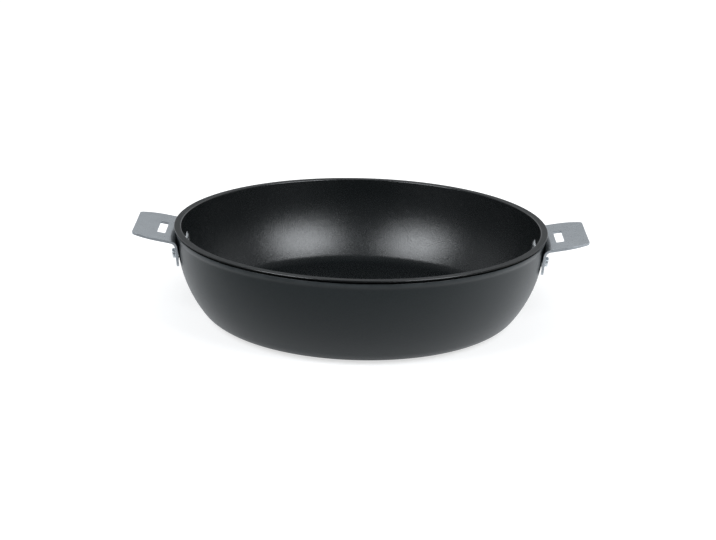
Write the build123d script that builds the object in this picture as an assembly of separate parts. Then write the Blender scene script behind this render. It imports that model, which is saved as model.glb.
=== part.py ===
from build123d import *
from math import asin, atan2, cos, degrees, radians, sin, sqrt, tan
import os

# Saute pan with two riveted tabs that a loose handle clips onto, in millimetres.
# Origin: centre of the base, on the table. +Z up, the tabs lie along X.

# Pan
lip_radius = 141.0
pan_height = 70.0
wall = 3.1
floor_thickness = 5.5
side_radius = 89.0
outer_corner_radius = 21.5
inner_corner_radius = 24.0

# Pouring lip, the groove under it and the soft bead under the groove
lip_overhang = 2.3
lip_edge = 1.3
lip_bevel = 0.5
groove_reach = 2.7
groove_slope = 0.5
groove_width = 0.9
bead_stand = 1.0
bead_depth = 4.0
bead_fade = 3.8
wall_radius = lip_radius - lip_overhang

# Steel disc let into the base
disc_margin = 11.0
disc_thickness = 1.2
disc_bevel = 0.4
disc_fit = 0.1

# Bracket plate
plate = 1.8
bend_radius = 4.0
plate_curve_radius = 195.0
bearing_depth = 17.0
flange_depth = 26.8
flange_corner = 3.0
bracket_fit = 0.1

# Tab, seen from above
tab_overhang = 29.4
tab_end_drop = 2.0
tab_tilt = 10.3
tab_half_width = 33.8
tab_end_half_width = 28.0
tab_crown = 19.4
tab_corner = 4.5
tab_reach = lip_radius + tab_overhang

# Slot for the handle's catch
slot_overhang = 9.0
slot_width = 6.2
slot_length = 29.0
slot_corner = 0.9
slot_centre = lip_radius + slot_overhang

# Rivets
rivet_depth = 20.0
rivet_spread = 18.0
rivet_shank = 2.5
rivet_hole_fit = 0.1
inner_head_radius = 6.0
inner_head_height = 1.9
inner_head_edge = 0.6
inner_crown_radius = 3.4
outer_head_radius = 3.7
outer_head_height = 2.3
outer_head_bevel = 0.9
head_fit = 0.03


def wall_depth_to_reach(depth):
    """How far out the wall's outer face is, at a depth below the rim."""
    below = max(depth - bead_depth - bead_fade, 0.0)
    return wall_radius - side_radius + sqrt(side_radius**2 - below**2)


def wall_lean(depth):
    """Angle from upright of the wall's outer face, at a depth below the rim."""
    below = max(depth - bead_depth - bead_fade, 0.0)
    return degrees(asin(below / side_radius))


def bowl_corner(reach, side, corner, floor):
    """Where an upright wall's side arc meets its corner arc, and the corner meets the floor."""
    spring = pan_height - bead_depth - bead_fade
    rise = spring - floor - corner
    run = sqrt((side - corner) ** 2 - rise**2)
    turn = atan2(rise, run)
    centre = reach - side + run
    joint = (centre + corner * cos(turn), floor + corner - corner * sin(turn))
    half = (turn + radians(90)) / 2
    corner_middle = (centre + corner * cos(half), floor + corner - corner * sin(half))
    side_middle = (reach - side + side * cos(turn / 2), spring - side * sin(turn / 2))
    return spring, side_middle, joint, corner_middle, centre


def outer_bowl():
    """Corner points of the pan's outer face; the last value is the radius of the flat base."""
    return bowl_corner(wall_radius, side_radius, outer_corner_radius, 0.0)


def disc_radius():
    """The steel disc stops a little inside the edge of the flat base."""
    return outer_bowl()[4] - disc_margin


def bead_points(spring):
    """Convex arc over the bead and concave arc back to the wall, from the groove downward."""
    crest = pan_height - bead_depth
    curl = (bead_fade**2 + bead_stand**2) / 4 / bead_stand
    fold = asin(bead_fade / 2 / curl)
    rise = bead_depth - lip_edge - groove_slope - groove_width
    centre = wall_radius + bead_stand - curl
    top = (centre + sqrt(curl**2 - rise**2), crest + rise)
    middle = (wall_radius + bead_stand / 2, crest - bead_fade / 2)
    hollow = (wall_radius + curl * (1 - cos(fold / 2)), spring + curl * sin(fold / 2))
    return top, (centre + curl, crest), middle, hollow


def pan_profile():
    """Half section of the pan: base, rounded side, bead, groove, lip and cavity."""
    spring, side_mid, joint, corner_mid, foot = outer_bowl()
    inner_radius = wall_radius - wall
    inner_side = side_radius - wall
    _, in_side_mid, in_joint, in_corner_mid, in_foot = bowl_corner(
        inner_radius, inner_side, inner_corner_radius, floor_thickness
    )
    recess = disc_radius() + disc_fit
    lip_bottom = pan_height - lip_edge
    groove = lip_radius - groove_reach
    bead_top, crest, bead_end, hollow = bead_points(spring)
    with BuildSketch(Plane.XZ) as section:
        with BuildLine():
            Polyline((0, disc_thickness), (recess, disc_thickness), (recess, 0), (foot, 0))
            ThreePointArc((foot, 0), corner_mid, joint)
            ThreePointArc(joint, side_mid, (wall_radius, spring))
            ThreePointArc((wall_radius, spring), hollow, bead_end)
            ThreePointArc(bead_end, crest, bead_top)
            Polyline(
                bead_top,
                (groove, bead_top[1]),
                (groove, lip_bottom - groove_slope),
                (lip_radius, lip_bottom),
                (lip_radius, pan_height),
                (inner_radius, pan_height),
                (inner_radius, spring),
            )
            ThreePointArc((inner_radius, spring), in_side_mid, in_joint)
            ThreePointArc(in_joint, in_corner_mid, (in_foot, floor_thickness))
            Polyline((in_foot, floor_thickness), (0, floor_thickness), (0, disc_thickness))
        make_face()
        chamfer(section.vertices().group_by(Axis.Y)[-1], lip_bevel)
    return section.sketch


def rivet_plane(side, row):
    """Plane on the wall's outer face where a rivet sits, facing outward along the rivet.

    The rivet splits the small difference in direction between the wall and the flatter plate.
    """
    reach = wall_depth_to_reach(rivet_depth)
    across = row * rivet_spread
    turn = (asin(across / reach) + asin(across / plate_curve_radius)) / 2
    lean = radians(wall_lean(rivet_depth) + wall_lean(bearing_depth)) / 2
    outward = Vector(side * cos(turn) * cos(lean), sin(turn) * cos(lean), -sin(lean))
    seat = (side * sqrt(reach**2 - across**2), across, pan_height - rivet_depth)
    return Plane(origin=seat, z_dir=outward)


def rivet_holes(side):
    """Bars through the pan wall and the bracket, a little larger than the rivets."""
    bar = Cylinder(rivet_shank + rivet_hole_fit, 6 * wall)
    return [rivet_plane(side, row) * bar for row in (-1, 1)]


def pan_body():
    body = revolve(pan_profile(), Axis.Z)
    for side in (-1, 1):
        body -= rivet_holes(side)
    return body


def base_disc():
    disc = Cylinder(disc_radius(), disc_thickness, align=(Align.CENTER, Align.CENTER, Align.MIN))
    return chamfer(disc.edges().sort_by(Axis.Z)[0], disc_bevel)


def plate_section():
    """Bracket cut through the middle: flange along the wall, bend, tab rising outward."""
    lean = radians(wall_lean(bearing_depth))
    bearing = wall_depth_to_reach(bearing_depth) + bracket_fit
    tilt = radians(tab_tilt)
    low = (
        bearing - (flange_depth - bearing_depth) * tan(lean),
        pan_height - flange_depth,
    )
    end = (tab_reach + plate, pan_height - tab_end_drop + plate * tan(tilt))
    fall = end[1] - (pan_height - bearing_depth) - (end[0] - bearing) * tan(tilt)
    rise = fall / (1 - tan(lean) * tan(tilt))
    bend = (bearing + rise * tan(lean), pan_height - bearing_depth + rise)
    with BuildSketch(Plane.XZ) as section:
        with BuildLine():
            FilletPolyline(low, bend, end, radius=bend_radius + plate)
            offset(amount=plate, side=Side.RIGHT)
        make_face()
    return section.sketch


def bracket_outline():
    """Plan view of the bracket: parallel sides, crowned towards a straight outer end."""
    inner = lip_radius / 2
    crown = tab_reach - tab_crown
    half = tab_half_width
    end = tab_end_half_width
    with BuildSketch() as outline:
        with BuildLine():
            Polyline((crown, half), (inner, half), (inner, -half), (crown, -half))
            TangentArc((crown, -half), (tab_reach, -end), tangent=(1, 0))
            Line((tab_reach, -end), (tab_reach, end))
            TangentArc((crown, half), (tab_reach, end), tangent=(1, 0))
        make_face()
        fillet(outline.vertices().group_by(Axis.X)[-1], tab_corner)
    return outline.sketch


def flange_outline():
    """Bracket seen along X: the flange's lower corners are rounded."""
    with BuildSketch(Plane.YZ) as outline:
        with Locations((0, pan_height - flange_depth)):
            Rectangle(2 * tab_half_width, pan_height, align=(Align.CENTER, Align.MIN))
        fillet(outline.vertices().group_by(Axis.Z)[0], flange_corner)
    return outline.sketch


def right_bracket():
    """Plate pressed to a flatter curve than the wall, so it bears on it in the middle."""
    pivot = wall_depth_to_reach(bearing_depth) + bracket_fit - plate_curve_radius
    sweep = 2 * degrees(asin(1.2 * tab_half_width / plate_curve_radius))
    strip = revolve(Pos(-pivot, 0, 0) * plate_section(), Axis.Z, sweep)
    strip = Pos(pivot, 0, 0) * Rot(0, 0, -sweep / 2) * strip
    strip &= extrude(bracket_outline(), 2 * pan_height)
    strip &= extrude(flange_outline(), 2 * lip_radius)
    tilt = radians(tab_tilt)
    slot_top = pan_height - tab_end_drop - (tab_reach - slot_centre) * tan(tilt)
    face = Plane(
        origin=(slot_centre, 0, slot_top),
        x_dir=(cos(tilt), 0, sin(tilt)),
        z_dir=(-sin(tilt), 0, cos(tilt)),
    )
    slot = extrude(face * RectangleRounded(slot_width, slot_length, slot_corner), 2 * plate, both=True)
    return strip - slot - rivet_holes(1)


def rivet(side, row):
    """Broad low head inside the pan, shank through wall and bracket, closed head outside."""
    reach = wall_depth_to_reach(rivet_depth)
    swing = (asin(rivet_spread / reach) - asin(rivet_spread / plate_curve_radius)) / 2
    nod = radians(wall_lean(rivet_depth) - wall_lean(bearing_depth)) / 2
    skew = sin(abs(swing)) + sin(abs(nod))
    hollow = inner_head_radius**2 / 2 / (side_radius - wall)
    inside = -wall - hollow - skew * inner_head_radius - head_fit
    plate_gap = rivet_spread**2 / 2 * (1 / reach - 1 / plate_curve_radius)
    plate_gap += (rivet_depth - bearing_depth) ** 2 / 2 / side_radius
    outside = bracket_fit + plate_gap + plate + skew * outer_head_radius + head_fit
    inner_top = inside - inner_head_height
    outer_top = outside + outer_head_height
    with BuildSketch(Plane.XZ) as section:
        with BuildLine():
            Polyline(
                (0, inner_top),
                (inner_crown_radius, inner_top),
                (inner_head_radius, inside - inner_head_edge),
                (inner_head_radius, inside),
                (rivet_shank, inside),
                (rivet_shank, outside),
                (outer_head_radius, outside),
                (outer_head_radius, outer_top - outer_head_bevel),
                (outer_head_radius - outer_head_bevel, outer_top),
                (0, outer_top),
                close=True,
            )
        make_face()
    return rivet_plane(side, row) * revolve(section.sketch, Axis.Z)


def rivet_pair(side):
    return Compound(children=[rivet(side, row) for row in (-1, 1)])


os.makedirs("parts", exist_ok=True)
right = right_bracket()
nodes = {
    "pan_body": pan_body(),
    "base_disc": base_disc(),
    "right_bracket": right,
    "left_bracket": mirror(right, Plane.YZ),
    "right_rivets": rivet_pair(1),
    "left_rivets": rivet_pair(-1),
}
for name, shape in nodes.items():
    export_step(shape, f"parts/{name}.step")
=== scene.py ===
from math import asin, atan2, cos, pi, radians, sin, sqrt

import bmesh
import bpy
from mathutils import Matrix, Vector


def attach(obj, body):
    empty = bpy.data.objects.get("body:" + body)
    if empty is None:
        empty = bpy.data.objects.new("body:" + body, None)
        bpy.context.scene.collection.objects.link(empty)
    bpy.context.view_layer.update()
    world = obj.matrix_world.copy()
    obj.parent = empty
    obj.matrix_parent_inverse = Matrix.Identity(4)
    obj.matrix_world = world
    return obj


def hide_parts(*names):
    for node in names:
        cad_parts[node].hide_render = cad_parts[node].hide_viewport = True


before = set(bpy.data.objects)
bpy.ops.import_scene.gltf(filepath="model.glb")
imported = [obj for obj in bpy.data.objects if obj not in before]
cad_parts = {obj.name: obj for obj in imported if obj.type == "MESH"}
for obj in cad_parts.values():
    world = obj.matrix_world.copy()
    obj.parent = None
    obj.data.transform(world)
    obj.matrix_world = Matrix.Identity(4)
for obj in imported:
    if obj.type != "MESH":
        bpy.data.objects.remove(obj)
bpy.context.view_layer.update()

mm = 0.001

# Pan body
lip_radius = 141.0 * mm
wall_radius = 138.7 * mm
wall = 3.1 * mm
inner_radius = wall_radius - wall
pan_height = 70.0 * mm
floor_thickness = 5.5 * mm
side_radius = 89.0 * mm
outer_corner = 21.5 * mm
inner_corner = 12.5 * mm

# Lip, groove and bead; the plain wall springs from where the bead has faded out
lip_edge = 1.3 * mm
inner_round = 0.7 * mm
outer_round = 0.5 * mm
lip_tuck = 0.3 * mm
groove_radius = 138.3 * mm
groove_slope = 0.5 * mm
groove_width = 0.9 * mm
bead_stand = 1.0 * mm
bead_depth = 4.0 * mm
bead_fade = 3.8 * mm
lip_bottom = pan_height - lip_edge
groove_foot = lip_bottom - groove_slope - groove_width
bead_crest = pan_height - bead_depth
spring = bead_crest - bead_fade

# Disc let into the base
disc_radius = 92.55 * mm
disc_fit = 0.1 * mm
disc_thickness = 1.2 * mm
disc_round = 0.4 * mm

# Brackets
plate = 1.8 * mm
plate_curve = 195.0 * mm
bearing_depth = 17.0 * mm
tab_end_starts = lip_radius + 15.0 * mm
punched_edge = 0.25 * mm
flat_fold = radians(0.3)
sharp_fold = radians(50)

# Rivets; their heads stand a little clear of the curved wall and plate
rivet_depth = 20.0 * mm
rivet_spread = 18.0 * mm
rivet_shank = 2.5 * mm
inner_head_radius = 6.0 * mm
inner_head_height = 1.9 * mm
inner_head_gap = 0.35 * mm
outer_head_radius = 3.7 * mm
outer_head_height = 2.3 * mm
outer_head_gap = 0.5 * mm
outer_head_round = 0.8 * mm

# How near two points are welded, and the slack when a face's place is tested
weld = 0.001 * mm
land_slack = 0.01 * mm
groove_slack = 0.05 * mm

# Painted highlight band on the bead, measured from its crest
highlight_full = 0.2 * mm
highlight_ends = 2.4 * mm

# Patterns: noise scales per metre, the share of the first of two masks, and depth of relief
cloud_scale = 18
cloud_share = 0.4
patch_scale = 110
scratch_share = 0.35
scratch_relief = 0.04 * mm
patch_gain = 1.2
highlight_patch_scale = 90
lathe_rings = 260
lathe_patches = 25

# Camera, worked out from the pan's outline in the photograph
lens = 92.92
sensor = 36.0
camera_distance = 1.410
camera_elevation = radians(17.35)
camera_roll = radians(1.38)
camera_target = Vector((-0.0015, 0.0, 0.0339))

# Slightly cool studio light
white = (1, 1, 1)
cool = (0.935, 0.968, 1.0)

# Table, a hair below the base so that the two don't share a plane. Its weaker glow near the axis
# is a painted shadow deepening the pan's own, and what mirrors it sees the glow only behind the
# pan.
table_half = 6.0
floor_gap = 0.1 * mm
shade_from, shade_to = 0.125, 0.27
mirror_slant = (0.32, 1, 0)
mirror_from, mirror_to = -0.30, 0.05

# Pale backdrop behind the pan: where it starts and ends, as parts of a direction's length
backdrop_side = 0.35
backdrop_full, backdrop_top = 0.35, 0.85


# Outlines, drawn with a point that is pushed along straight runs and swung round centres

def start_outline(bm, x, z):
    return bmesh.ops.create_vert(bm, co=(x, 0, z))["vert"][0]


def run_to(bm, tip, x, z):
    """Push the outline's last point along a straight run."""
    tip = bmesh.ops.extrude_vert_indiv(bm, verts=[tip])["verts"][0]
    tip.co = (x, 0, z)
    return tip


def swing(bm, tip, x, z, turn, steps):
    """Swing the last point round a centre; positive is clockwise with X right and Z up."""
    swung = bmesh.ops.spin(
        bm, geom=[tip], cent=(x, 0, z), axis=(0, 1, 0), angle=turn, steps=steps
    )
    return [item for item in swung["geom_last"] if isinstance(item, bmesh.types.BMVert)][0]


def turn_outline(bm, steps):
    """Spin the outline into a closed turned shape and point its faces outward."""
    bmesh.ops.spin(
        bm, geom=bm.verts[:] + bm.edges[:], cent=(0, 0, 0), axis=(0, 0, 1),
        angle=2 * pi, steps=steps, use_merge=True,
    )
    bmesh.ops.remove_doubles(bm, verts=bm.verts, dist=weld)
    bmesh.ops.recalc_face_normals(bm, faces=bm.faces)


def finished_piece(name, bm, node, materials):
    """Make the object that stands in for a CAD node, its broad faces flat beside small rounds."""
    mesh = bpy.data.meshes.new(name)
    bm.to_mesh(mesh)
    bm.free()
    for face in mesh.polygons:
        face.use_smooth = True
    for material in materials:
        mesh.materials.append(material)
    piece = bpy.data.objects.new(name, mesh)
    bpy.context.scene.collection.objects.link(piece)
    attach(piece, "root")
    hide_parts(node)
    weigh = piece.modifiers.new("broad_faces_flat", "WEIGHTED_NORMAL")
    weigh.keep_sharp = True
    weigh.weight = 80


# Pan body

def bowl_corner(reach, side, corner, floor):
    """Centre radius of the corner arc, and how far round the side arc turns before it."""
    rise = spring - floor - corner
    run = sqrt((side - corner) ** 2 - rise**2)
    return reach - side + run, atan2(rise, run)


def draw_inside(bm):
    """Floor, corner and side of the cavity, up to the rim."""
    side = side_radius - wall
    foot, turn = bowl_corner(inner_radius, side, inner_corner, floor_thickness)
    tip = start_outline(bm, 0, floor_thickness)
    for ring in (0.25, 0.5, 0.75, 1):
        tip = run_to(bm, tip, foot * ring, floor_thickness)
    tip = swing(bm, tip, foot, floor_thickness + inner_corner, turn - pi / 2, steps=12)
    tip = swing(bm, tip, inner_radius - side, spring, -turn, steps=20)
    return run_to(bm, tip, inner_radius, pan_height - inner_round)


def draw_lip(bm, tip):
    """Rounded rim, with the lip's lower corner drawn in to the groove."""
    inner_centre = inner_radius + inner_round
    outer_centre = lip_radius - outer_round
    tip = swing(bm, tip, inner_centre, pan_height - inner_round, pi / 2, steps=5)
    tip = run_to(bm, tip, (inner_radius + lip_radius) / 2, pan_height)
    tip = run_to(bm, tip, outer_centre, pan_height)
    tip = swing(bm, tip, outer_centre, pan_height - outer_round, pi / 2, steps=6)
    tip = run_to(bm, tip, lip_radius - lip_tuck, lip_bottom + lip_tuck / 2)
    tip = run_to(bm, tip, lip_radius - 2 * lip_tuck, lip_bottom)
    tip = run_to(bm, tip, groove_radius, lip_bottom - groove_slope)
    return run_to(bm, tip, groove_radius, groove_foot)


def draw_bead(bm, tip):
    """Soft bead under the groove: an outward arc, and its equal turned back into the wall."""
    curl = (bead_fade**2 + bead_stand**2) / 4 / bead_stand
    fold = asin(bead_fade / 2 / curl)
    rise = groove_foot - bead_crest
    centre = wall_radius + bead_stand - curl
    tip = run_to(bm, tip, centre + sqrt(curl**2 - rise**2), groove_foot)
    tip = swing(bm, tip, centre, bead_crest, asin(rise / curl) + fold, steps=8)
    return swing(bm, tip, wall_radius + curl, spring, -fold, steps=6)


def draw_outside(bm, tip):
    """Side, corner and base, with the recess for the disc."""
    foot, turn = bowl_corner(wall_radius, side_radius, outer_corner, 0)
    recess = disc_radius + disc_fit
    tip = swing(bm, tip, wall_radius - side_radius, spring, turn, steps=20)
    tip = swing(bm, tip, foot, outer_corner, pi / 2 - turn, steps=12)
    tip = run_to(bm, tip, recess, 0)
    tip = run_to(bm, tip, recess, disc_thickness)
    return run_to(bm, tip, 0, disc_thickness)


def faces_cavity(middle, reach, normal):
    """True for faces of the cavity, which look up or towards the axis."""
    towards_axis = -(normal.x * middle.x + normal.y * middle.y)
    within = reach < wall_radius - wall / 2 and middle.z > disc_thickness
    return within and (normal.z > 0.5 or towards_axis > 0)


def pan_finish(middle, normal):
    """Name the finish of a face from where it lies and where it looks."""
    reach = sqrt(middle.x**2 + middle.y**2)
    if middle.z > pan_height - land_slack:
        return "land"
    if middle.z > pan_height - inner_round and reach < inner_radius + inner_round:
        return "edges"
    # Outward faces of the lip's rounding and the groove below it take the near-black matte, painted
    # shade
    if middle.z > pan_height - outer_round and reach > lip_radius - outer_round:
        return "edges" if normal.z > 0.3 else "groove"
    if faces_cavity(middle, reach, normal):
        return "cavity"
    return "groove" if middle.z > groove_foot - groove_slack else "outside"


def make_pan(finishes):
    bm = bmesh.new()
    draw_outside(bm, draw_bead(bm, draw_lip(bm, draw_inside(bm))))
    turn_outline(bm, steps=256)
    order = list(finishes)
    for face in bm.faces:
        face.material_index = order.index(pan_finish(face.calc_center_median(), face.normal))
    finished_piece("saute_pan", bm, "pan_body", finishes.values())


# Base disc

def make_disc(steel):
    """Turned disc with its outer lower edge rounded."""
    bm = bmesh.new()
    tip = start_outline(bm, 0, 0)
    tip = run_to(bm, tip, disc_radius - 4 * disc_round, 0)
    tip = run_to(bm, tip, disc_radius - disc_round, 0)
    tip = swing(bm, tip, disc_radius - disc_round, disc_round, -pi / 2, steps=4)
    tip = run_to(bm, tip, disc_radius, disc_thickness)
    run_to(bm, tip, 0, disc_thickness)
    turn_outline(bm, steps=192)
    finished_piece("steel_base_disc", bm, "base_disc", (steel,))


# Brackets

def is_sheared(face):
    """True for the narrow faces round the plate, which the press tool cut."""
    middle = face.calc_center_median()
    normal = face.normal
    side_or_slot = abs(normal.y) > 0.75
    end_of_tab = abs(middle.x) > tab_end_starts and abs(normal.z) < 0.6
    foot_of_flange = middle.z < pan_height - bearing_depth and normal.z < -0.7
    return side_or_slot or end_of_tab or foot_of_flange


def make_bracket(side, steel, sheared_steel):
    """The pressed plate with its sheared edges rounded over."""
    node = f"{side}_bracket"
    bm = bmesh.new()
    bm.from_mesh(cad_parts[node].data)
    bmesh.ops.remove_doubles(bm, verts=bm.verts, dist=weld)
    bmesh.ops.dissolve_limit(
        bm, angle_limit=flat_fold, verts=bm.verts, edges=bm.edges, use_dissolve_boundaries=False
    )
    sheared = [
        edge for edge in bm.edges
        if len(edge.link_faces) == 2 and edge.calc_face_angle(0) > sharp_fold
    ]
    bmesh.ops.bevel(
        bm, geom=sheared, affect="EDGES", offset=punched_edge, segments=3, profile=0.5,
        material=-1, clamp_overlap=True,
    )
    for face in bm.faces:
        face.material_index = int(is_sheared(face))
    finished_piece(f"{side}_tab_bracket", bm, node, (steel, sheared_steel))


# Rivets

def wall_reach(depth):
    """Radius of the wall's outer face at a depth below the rim."""
    below = max(depth - bead_depth - bead_fade, 0)
    return wall_radius - side_radius + sqrt(side_radius**2 - below**2)


def wall_lean(depth):
    """How far the wall leans from upright at a depth below the rim."""
    return asin(max(depth - bead_depth - bead_fade, 0) / side_radius)


def rivet_place(side, row):
    """Where a rivet crosses the wall's outer face, with its axis pointing out along local Z."""
    reach = wall_reach(rivet_depth)
    across = row * rivet_spread
    turn = (asin(across / reach) + asin(across / plate_curve)) / 2
    lean = (wall_lean(rivet_depth) + wall_lean(bearing_depth)) / 2
    outward = Vector((side * cos(turn) * cos(lean), sin(turn) * cos(lean), -sin(lean)))
    seat = Vector((side * sqrt(reach**2 - across**2), across, pan_height - rivet_depth))
    return Matrix.Translation(seat) @ outward.to_track_quat("Z", "Y").to_matrix().to_4x4()


def turned_rivet():
    """Low domed head inside, shank, and a set head with a rounded edge outside."""
    dome = (inner_head_radius**2 + inner_head_height**2) / 2 / inner_head_height
    sweep = asin(inner_head_radius / dome)
    inner_face = -wall - inner_head_gap
    inner_top = inner_face - inner_head_height
    outer_face = plate + outer_head_gap
    outer_top = outer_face + outer_head_height
    bm = bmesh.new()
    tip = start_outline(bm, 0, inner_top)
    tip = swing(bm, tip, 0, inner_top + dome, -sweep, steps=10)
    tip = run_to(bm, tip, rivet_shank, inner_face)
    tip = run_to(bm, tip, rivet_shank, outer_face)
    tip = run_to(bm, tip, outer_head_radius, outer_face)
    tip = run_to(bm, tip, outer_head_radius, outer_top - outer_head_round)
    centre = outer_head_radius - outer_head_round
    tip = swing(bm, tip, centre, outer_top - outer_head_round, -pi / 2, steps=6)
    run_to(bm, tip, 0, outer_top)
    turn_outline(bm, steps=48)
    return bm


def make_rivets(side_name, side, metal):
    """The front and rear rivets of one bracket, as one piece."""
    pair = bmesh.new()
    single = bpy.data.meshes.new("rivet")
    for row in (-1, 1):
        one = turned_rivet()
        bmesh.ops.transform(one, matrix=rivet_place(side, row), verts=one.verts)
        one.to_mesh(single)
        one.free()
        pair.from_mesh(single)
    bpy.data.meshes.remove(single)
    finished_piece(
        f"{side_name}_rivet_pair", pair, f"{side_name}_rivets", (metal,)
    )


# Node building; a node's inputs are given by name or number, each as a socket or a plain value

def feed(tree, node, inputs):
    for name, source in inputs.items():
        if isinstance(source, bpy.types.NodeSocket):
            tree.links.new(source, node.inputs[name])
        else:
            node.inputs[name].default_value = source


def add_node(tree, kind, inputs=None, **settings):
    node = tree.nodes.new(kind)
    for name, value in settings.items():
        setattr(node, name, value)
    feed(tree, node, inputs or {})
    return node


def arithmetic(tree, operation, *values):
    """Result of one step of arithmetic."""
    return add_node(tree, "ShaderNodeMath", dict(enumerate(values)), operation=operation).outputs[0]


def ranged(tree, mask, low, high):
    """Carry a mask from 0..1 over to low..high."""
    inputs = {"Value": mask, "To Min": low, "To Max": high}
    return add_node(tree, "ShaderNodeMapRange", inputs).outputs["Result"]


def faded(tree, value, start, end):
    """Mask that eases from 0 at start to 1 at end."""
    inputs = {"Value": value, "From Min": start, "From Max": end}
    fade = add_node(tree, "ShaderNodeMapRange", inputs, interpolation_type="SMOOTHSTEP")
    return fade.outputs["Result"]


def mixed_colour(tree, mask, low, high):
    """Colour that goes from low to high with the mask; each is a colour or a socket."""
    low, high = ((*end, 1) if isinstance(end, tuple) else end for end in (low, high))
    inputs = {"Factor": mask, "A": low, "B": high}
    return add_node(tree, "ShaderNodeMix", inputs, data_type="RGBA").outputs["Result"]


def mixed_masks(tree, first, second, share):
    """Two masks added up, with this share of the first."""
    rest = arithmetic(tree, "MULTIPLY", second, 1 - share)
    return arithmetic(tree, "MULTIPLY_ADD", first, share, rest)


def bumped(tree, height, distance):
    inputs = {"Strength": 1, "Distance": distance, "Height": height}
    return add_node(tree, "ShaderNodeBump", inputs).outputs["Normal"]


def noise(tree, vector, scale, detail, low=0.35, high=0.65):
    """Noise as a mask, stretched between two of its levels, and as a height."""
    inputs = {"Vector": vector, "Scale": scale, "Detail": detail}
    height = add_node(tree, "ShaderNodeTexNoise", inputs).outputs["Fac"]
    levels = {"Value": height, "From Min": low, "From Max": high}
    return add_node(tree, "ShaderNodeMapRange", levels).outputs["Result"], height


def object_coordinates(tree):
    return add_node(tree, "ShaderNodeTexCoord").outputs["Object"]


# Node groups, each an effect that several materials use

def new_group(name, given, gives):
    """Start a group with named sockets; returns it, its entry's sockets and its result node."""
    group = bpy.data.node_groups.new(name, "ShaderNodeTree")
    for way, sockets in (("INPUT", given), ("OUTPUT", gives)):
        for socket, kind in sockets.items():
            group.interface.new_socket(socket, in_out=way, socket_type=f"NodeSocket{kind}")
    entry = add_node(group, "NodeGroupInput").outputs
    return group, entry, add_node(group, "NodeGroupOutput")


def patches_group():
    """Slow uneven patches, as a mask between two levels."""
    given = {"Vector": "Vector"} | dict.fromkeys(("Scale", "Detail", "Low", "High"), "Float")
    group, entry, result = new_group("patches", given, {"Mask": "Float"})
    patch, _ = noise(group, *(entry[name] for name in given))
    feed(group, result, {"Mask": patch})
    return group


def coating_group():
    """Grain of a baked coating: a tone, a gloss that is cloudy as well, and a relief."""
    given = {"Vector": "Vector", "Grain Scale": "Float"}
    gives = {"Tone": "Float", "Gloss": "Float", "Height": "Float"}
    group, entry, result = new_group("coating_grain", given, gives)
    cloud, _ = noise(group, entry["Vector"], cloud_scale, detail=3)
    fine, height = noise(group, entry["Vector"], entry["Grain Scale"], detail=3)
    gloss = mixed_masks(group, cloud, fine, cloud_share)
    feed(group, result, {"Tone": fine, "Gloss": gloss, "Height": height})
    return group


def brushed_group():
    """Brushed or sheared metal: scratches drawn out along one way, and slow patches of tone."""
    given = {"Vector": "Vector", "Stretch": "Vector"}
    gives = {"Lines": "Float", "Tone": "Float", "Height": "Float"}
    group, entry, result = new_group("brushed_grain", given, gives)
    drawn = {"Vector": entry["Vector"], "Scale": entry["Stretch"]}
    drawn_out = add_node(group, "ShaderNodeMapping", drawn).outputs["Vector"]
    lines, height = noise(group, drawn_out, 1.0, detail=2)
    patch, _ = noise(group, entry["Vector"], patch_scale, detail=5, low=0.3, high=0.7)
    tone = mixed_masks(group, lines, patch, scratch_share)
    feed(group, result, {"Lines": lines, "Tone": tone, "Height": height})
    return group


def placed(tree, group, inputs):
    """Place a group in a material, on Object coordinates."""
    inputs = {"Vector": object_coordinates(tree), **inputs}
    return add_node(tree, "ShaderNodeGroup", inputs, node_tree=group).outputs


# Materials

def new_material(name):
    material = bpy.data.materials.new(name)
    material.use_nodes = True
    return material, material.node_tree, material.node_tree.nodes["Principled BSDF"]


def coating(name, grain, dark, light, smooth, rough, grain_scale, relief, index):
    """Baked coating with a very fine relief; smooth and rough are the ends of its roughness."""
    material, tree, shader = new_material(name)
    cover = placed(tree, grain, {"Grain Scale": grain_scale})
    feed(tree, shader, {
        "Base Color": mixed_colour(tree, cover["Tone"], dark, light),
        "Roughness": ranged(tree, cover["Gloss"], smooth, rough),
        "Normal": bumped(tree, cover["Height"], relief),
        "IOR": index,
    })
    return material


def paint_bead_highlight(lacquer, patches, highlight_colour):
    """Lighten the lacquer in a soft band along the bead, made uneven by patches: a painted
    highlight.
    """
    tree = lacquer.node_tree
    shader = tree.nodes["Principled BSDF"]
    plain = shader.inputs["Base Color"].links[0].from_socket
    parts = add_node(tree, "ShaderNodeSeparateXYZ", {"Vector": object_coordinates(tree)})
    offset = arithmetic(tree, "SUBTRACT", parts.outputs["Z"], bead_crest)
    band = faded(tree, arithmetic(tree, "ABSOLUTE", offset), highlight_ends, highlight_full)
    levels = {"Scale": highlight_patch_scale, "Detail": 4, "Low": 0.1, "High": 0.6}
    uneven = arithmetic(tree, "MULTIPLY", band, placed(tree, patches, levels)["Mask"])
    feed(tree, shader, {"Base Color": mixed_colour(tree, uneven, plain, highlight_colour)})


def satin_metal(name, brushed, stretch, tint, smooth, rough):
    """Sheet or formed metal; stretch is how fine its scratches are along X, Y and Z."""
    material, tree, shader = new_material(name)
    cover = placed(tree, brushed, {"Stretch": stretch})
    lightest = tuple(min(1, channel * patch_gain) for channel in tint)
    feed(tree, shader, {
        "Base Color": mixed_colour(tree, cover["Tone"], tint, lightest),
        "Roughness": ranged(tree, cover["Lines"], smooth, rough),
        "Normal": bumped(tree, cover["Height"], scratch_relief),
        "Metallic": 1,
    })
    return material


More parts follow.
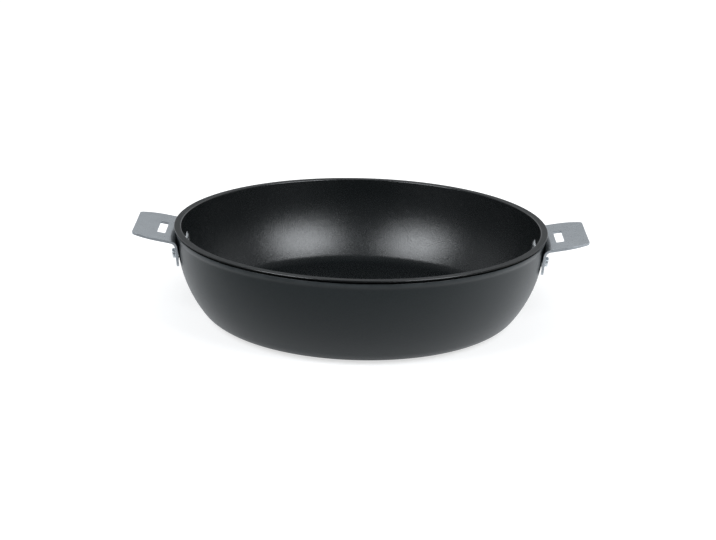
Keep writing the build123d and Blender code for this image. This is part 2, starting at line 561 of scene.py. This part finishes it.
def turned_steel(name, patches, dark, light, smooth, rough):
    """Rings left by the lathe, close together, round the axis."""
    material, tree, shader = new_material(name)
    cut = {"Vector": object_coordinates(tree), "Scale": lathe_rings, "Distortion": 0.3}
    wave = add_node(tree, "ShaderNodeTexWave", cut, wave_type="RINGS", rings_direction="Z")
    rings = wave.outputs["Fac"]
    levels = {"Scale": lathe_patches, "Detail": 3, "Low": 0.35, "High": 0.65}
    feed(tree, shader, {
        "Base Color": mixed_colour(tree, placed(tree, patches, levels)["Mask"], dark, light),
        "Roughness": ranged(tree, rings, smooth, rough),
        "Normal": bumped(tree, rings, scratch_relief),
        "Metallic": 1,
    })
    return material


# Studio

def add_camera():
    camera = bpy.data.objects.new("camera", bpy.data.cameras.new("camera"))
    camera.data.lens = lens
    camera.data.sensor_width = sensor
    camera.data.clip_start = 0.01
    camera.data.clip_end = 50.0
    away = Vector((0.0, -cos(camera_elevation), sin(camera_elevation)))
    tip_down = Matrix.Rotation(pi / 2 - camera_elevation, 4, "X")
    turn = tip_down @ Matrix.Rotation(camera_roll, 4, "Z")
    camera.matrix_world = Matrix.Translation(camera_target + camera_distance * away) @ turn
    bpy.context.scene.collection.objects.link(camera)
    bpy.context.scene.camera = camera


def table_material(albedo, seen_near, seen_far, mirrored_front, mirrored_back):
    """White that keeps the pan's shadow; it glows for the camera and for what mirrors it."""
    material = bpy.data.materials.new("white_table")
    material.use_nodes = True
    tree = material.node_tree
    tree.nodes.clear()
    path = add_node(tree, "ShaderNodeLightPath").outputs
    place = object_coordinates(tree)
    # Weaker glow for the camera near the axis: painted shadow round the pan's foot
    from_axis = add_node(tree, "ShaderNodeVectorMath", {0: place}, operation="LENGTH")
    away = faded(tree, from_axis.outputs["Value"], shade_from, shade_to)
    glow_seen = ranged(tree, away, seen_near, seen_far)
    slant = {0: place, 1: mirror_slant}
    along = add_node(tree, "ShaderNodeVectorMath", slant, operation="DOT_PRODUCT")
    back = faded(tree, along.outputs["Value"], mirror_from, mirror_to)
    glow_mirrored = ranged(tree, back, mirrored_front, mirrored_back)
    seen = arithmetic(tree, "MULTIPLY", path["Is Camera Ray"], glow_seen)
    strength = arithmetic(tree, "MULTIPLY_ADD", path["Is Glossy Ray"], glow_mirrored, seen)
    tint = mixed_colour(tree, path["Is Camera Ray"], cool, white)
    glow = add_node(tree, "ShaderNodeEmission", {"Color": tint, "Strength": strength})
    diffuse = add_node(tree, "ShaderNodeBsdfDiffuse", {"Color": (albedo, albedo, albedo, 1)})
    shaders = {0: diffuse.outputs[0], 1: glow.outputs[0]}
    both = add_node(tree, "ShaderNodeAddShader", shaders)
    add_node(tree, "ShaderNodeOutputMaterial", {"Surface": both.outputs[0]})
    return material


def add_floor(material):
    bm = bmesh.new()
    below = Matrix.Translation((0, 0, -floor_gap))
    bmesh.ops.create_grid(bm, x_segments=1, y_segments=1, size=table_half, matrix=below)
    mesh = bpy.data.meshes.new("floor")
    bm.to_mesh(mesh)
    bm.free()
    mesh.materials.append(material)
    floor = bpy.data.objects.new("floor", mesh)
    bpy.context.scene.collection.objects.link(floor)


def add_soft_box(name, azimuth, height, away, width, tall, power):
    """Soft box aimed at the pan; azimuth is from the camera's side, positive to the right."""
    lamp = bpy.data.lights.new(name, "AREA")
    lamp.shape = "RECTANGLE"
    lamp.size = width
    lamp.size_y = tall
    lamp.energy = power
    lamp.color = cool
    holder = bpy.data.objects.new(name, lamp)
    turn = radians(azimuth)
    up = radians(height)
    place = away * Vector((sin(turn) * cos(up), -cos(turn) * cos(up), sin(up)))
    aim = place.to_track_quat("Z", "Y").to_matrix().to_4x4()
    holder.matrix_world = Matrix.Translation(place) @ aim
    bpy.context.scene.collection.objects.link(holder)


def add_world(room, backdrop):
    """White for the camera; for all else a dim room, with a pale backdrop behind the pan."""
    world = bpy.data.worlds.new("studio")
    bpy.context.scene.world = world
    world.use_nodes = True
    tree = world.node_tree
    tree.nodes.clear()
    path = add_node(tree, "ShaderNodeLightPath").outputs
    way = add_node(tree, "ShaderNodeTexCoord").outputs["Generated"]
    parts = add_node(tree, "ShaderNodeSeparateXYZ", {"Vector": way}).outputs
    behind = faded(tree, parts["Y"], -backdrop_side, backdrop_side)
    low = faded(tree, parts["Z"], backdrop_top, backdrop_full)
    strength = ranged(tree, arithmetic(tree, "MULTIPLY", behind, low), room, backdrop)
    around = add_node(tree, "ShaderNodeBackground", {"Color": (*cool, 1), "Strength": strength})
    seen = add_node(tree, "ShaderNodeBackground", {"Color": (*white, 1)})
    shaders = {0: path["Is Camera Ray"], 1: around.outputs[0], 2: seen.outputs[0]}
    mix = add_node(tree, "ShaderNodeMixShader", shaders)
    add_node(tree, "ShaderNodeOutputWorld", {"Surface": mix.outputs[0]})


bpy.context.scene.view_settings.view_transform = "Standard"
add_camera()
add_floor(table_material(
    albedo=0.48, seen_near=0.66, seen_far=0.95, mirrored_front=0.0, mirrored_back=0.88,
))
add_world(room=0.1, backdrop=0.6)
add_soft_box("right_box", azimuth=49, height=40, away=1.3, width=0.78, tall=0.66, power=12.3)
add_soft_box("left_box", azimuth=-50, height=41, away=1.3, width=0.72, tall=0.66, power=11.3)

patches = patches_group()
grain = coating_group()
brushed = brushed_group()

inside = coating(
    "inner_coating", grain, dark=(0.003, 0.004, 0.004), light=(0.009, 0.011, 0.012),
    smooth=0.22, rough=0.31, grain_scale=2300, relief=0.10 * mm, index=1.64,
)
outside = coating(
    "outer_lacquer", grain, dark=(0.003, 0.006, 0.007), light=(0.006, 0.010, 0.011),
    smooth=0.35, rough=0.43, grain_scale=1100, relief=0.06 * mm, index=1.46,
)
land = coating(
    "rim_land", grain, dark=(0.006, 0.007, 0.007), light=(0.011, 0.013, 0.013),
    smooth=0.42, rough=0.55, grain_scale=1300, relief=0.08 * mm, index=1.47,
)
edges = coating(
    "rounded_rim_edges", grain, dark=(0.003, 0.004, 0.004), light=(0.008, 0.009, 0.010),
    smooth=0.17, rough=0.25, grain_scale=1500, relief=0.03 * mm, index=1.75,
)
# Near-black, barely glossy matte on the lip's outer face and the groove: painted shade that deepens
# the undercut's shadow under the lip
groove = coating(
    "groove_painted_shade", grain, dark=(0.002, 0.002, 0.002), light=(0.003, 0.004, 0.004),
    smooth=0.60, rough=0.75, grain_scale=1300, relief=0.10 * mm, index=1.2,
)
# Painted highlight: lighter lacquer colour in a band along the bead
paint_bead_highlight(outside, patches, highlight_colour=(0.024, 0.029, 0.031))
sheet = satin_metal(
    "bracket_steel", brushed, stretch=(5000, 500, 5000), tint=(0.50, 0.53, 0.555),
    smooth=0.26, rough=0.38,
)
sheared = satin_metal(
    "sheared_edge_steel", brushed, stretch=(2500, 2500, 900), tint=(0.34, 0.36, 0.38),
    smooth=0.26, rough=0.44,
)
head = satin_metal(
    "rivet_aluminium", brushed, stretch=(900, 900, 900), tint=(0.56, 0.58, 0.59),
    smooth=0.18, rough=0.32,
)
lathe = turned_steel(
    "base_steel", patches, dark=(0.50, 0.50, 0.49), light=(0.58, 0.58, 0.57),
    smooth=0.26, rough=0.38,
)

make_pan({"cavity": inside, "outside": outside, "land": land, "edges": edges, "groove": groove})
make_disc(lathe)
for side_name, side in (("left", -1), ("right", 1)):
    make_bracket(side_name, sheet, sheared)
    make_rivets(side_name, side, head)
